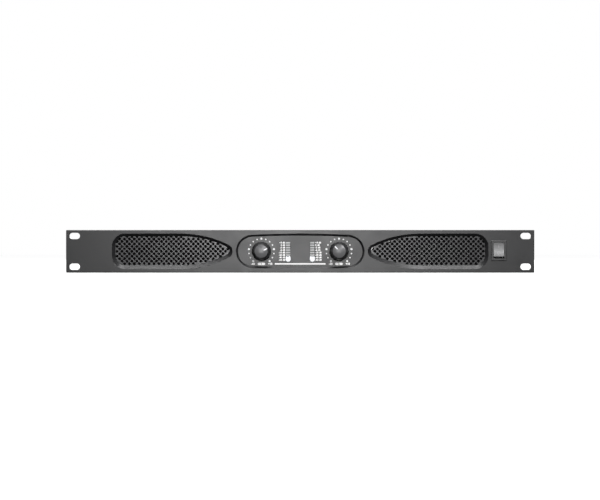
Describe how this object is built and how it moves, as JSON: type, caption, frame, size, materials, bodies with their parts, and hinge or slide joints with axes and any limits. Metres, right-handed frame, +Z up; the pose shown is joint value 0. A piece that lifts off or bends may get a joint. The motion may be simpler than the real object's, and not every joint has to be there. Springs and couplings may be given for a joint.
{
  "type": "power amplifier",
  "caption": "Slim two-channel rack-mount audio power amplifier: dark panel with teardrop vent grilles, level knobs, bar indicators and a rocker switch.",
  "frame": {"origin": "on the floor under the feet, in the middle of the whole object's width and depth", "axes": "+X to the right as seen from the front, +Y from the front panel to the back, +Z up"},
  "size_m": [0.4826, 0.3514, 0.044],
  "materials": {
    "panel_paint": "fine satin powder coat, dark grey",
    "case_paint": "satin powder coat, black",
    "foam": "open-cell foam, black",
    "knob_plastic": "matt, dark grey",
    "pointer_white": "filled line, white",
    "steel": "bright zinc",
    "black_screw": "black oxide",
    "lens": "diffused lens, lit from the bottom up",
    "switch_black": "semi-gloss black",
    "switch_grey": "semi-gloss grey",
    "terminal": "tinned brass",
    "gold_pin": "gold plate",
    "rubber_black": "matt",
    "die_cast": "black chromate on die-cast zinc",
    "socket_plastic": "matt, black",
    "speaker_plastic": "matt, blue-black",
    "latch_plastic": "matt, dark grey",
    "inlet_plastic": "semi-gloss black",
    "button_red": "semi-gloss red",
    "button_white": "semi-gloss white",
    "board_green": "solder-masked glass epoxy",
    "aluminium": "extruded",
    "package_black": "moulded epoxy",
    "copper": "enamelled copper wire",
    "ferrite": "sintered",
    "tape_yellow": "polyester tape",
    "capacitor_sleeve": "shrink sleeve, black",
    "film_red": "dipped, dark red",
    "wire_black": "PVC",
    "wire_red": "PVC",
    "ribbon_grey": "PVC",
    "guard_wire": "bright nickel wire"
  },
  "bodies": {
    "chassis": {"front_panel": "panel_paint", "control_plate": "panel_paint", "grille_left": "panel_paint", "grille_right": "panel_paint", "air_filters": "foam", "chassis_tray": "case_paint", "rear_panel": "case_paint", "top_cover": "case_paint", "feet": "rubber_black", "panel_fixings": "steel", "case_screws": "black_screw", "rear_screws": "black_screw", "board_screws": "steel", "standoffs": "steel", "indicator_leds": "lens", "potentiometers": "steel", "pot_nuts": "steel", "control_board": "board_green", "switch_housing": "switch_black", "switch_terminals": "terminal", "ribbon_cable": "ribbon_grey", "psu_board": "board_green", "amp_board": "board_green", "input_board": "board_green", "transformer_core": "ferrite", "transformer_winding": "tape_yellow", "bulk_capacitors": "capacitor_sleeve", "filter_choke": "copper", "heatsinks": "aluminium", "power_transistors": "package_black", "output_inductors": "copper", "film_capacitors": "film_red", "mains_leads": "wire_black", "speaker_leads": "wire_red", "mains_inlet": "inlet_plastic", "inlet_blades": "terminal", "breaker_body": "socket_plastic", "input_sockets": "die_cast", "input_inserts": "socket_plastic", "link_sockets": "die_cast", "link_pins": "gold_pin", "speaker_sockets": "speaker_plastic", "speaker_cores": "speaker_plastic", "slide_switch_bodies": "socket_plastic", "fan_frames": "socket_plastic", "fan_guards": "guard_wire"},
    "level_knob_a": {"knob_a": "knob_plastic", "knob_pointer_a": "pointer_white", "knob_shaft_a": "aluminium"},
    "level_knob_b": {"knob_b": "knob_plastic", "knob_pointer_b": "pointer_white", "knob_shaft_b": "aluminium"},
    "rocker": {"power_rocker": "switch_grey"},
    "rotor_a": {"fan_rotor_a": "socket_plastic"},
    "rotor_b": {"fan_rotor_b": "socket_plastic"},
    "reset_button": {"breaker_button": "button_red"},
    "mode_switch": {"mode_slider": "button_white"},
    "ground_switch": {"ground_slider": "button_white"},
    "latch_a": {"latch_tab_a": "latch_plastic"},
    "latch_b": {"latch_tab_b": "latch_plastic"}
  },
  "joints": [
    {"name": "level_a_turn", "type": "hinge", "parent": "chassis", "child": "level_knob_a", "pos_m": [-0.04, -0.16265, 0.022], "axis": [0, 1, 0], "range_deg": [-205, 75]},
    {"name": "level_b_turn", "type": "hinge", "parent": "chassis", "child": "level_knob_b", "pos_m": [0.04, -0.16265, 0.022], "axis": [0, 1, 0], "range_deg": [-100, 180]},
    {"name": "power_rock", "type": "hinge", "parent": "chassis", "child": "rocker", "pos_m": [0.2045, -0.15915, 0.023], "axis": [1, 0, 0], "range_deg": [0, 20]},
    {"name": "fan_a_spin", "type": "hinge", "parent": "chassis", "child": "rotor_a", "pos_m": [0.058, 0.16035, 0.022], "axis": [0, 1, 0], "continuous": true},
    {"name": "fan_b_spin", "type": "hinge", "parent": "chassis", "child": "rotor_b", "pos_m": [0.104, 0.16035, 0.022], "axis": [0, 1, 0], "continuous": true},
    {"name": "breaker_reset", "type": "slide", "parent": "chassis", "child": "reset_button", "axis": [0, 1, 0], "range_m": [0, 0.003]},
    {"name": "mode_slide", "type": "slide", "parent": "chassis", "child": "mode_switch", "axis": [1, 0, 0], "range_m": [-0.0028, 0.0028]},
    {"name": "ground_slide", "type": "slide", "parent": "chassis", "child": "ground_switch", "axis": [1, 0, 0], "range_m": [0, 0.0056]},
    {"name": "latch_a_push", "type": "slide", "parent": "chassis", "child": "latch_a", "axis": [0, -1, 0], "range_m": [0, 0.0015], "stiffness_N_per_m": 1000},
    {"name": "latch_b_push", "type": "slide", "parent": "chassis", "child": "latch_b", "axis": [0, -1, 0], "range_m": [0, 0.0015], "stiffness_N_per_m": 1000}
  ]
}
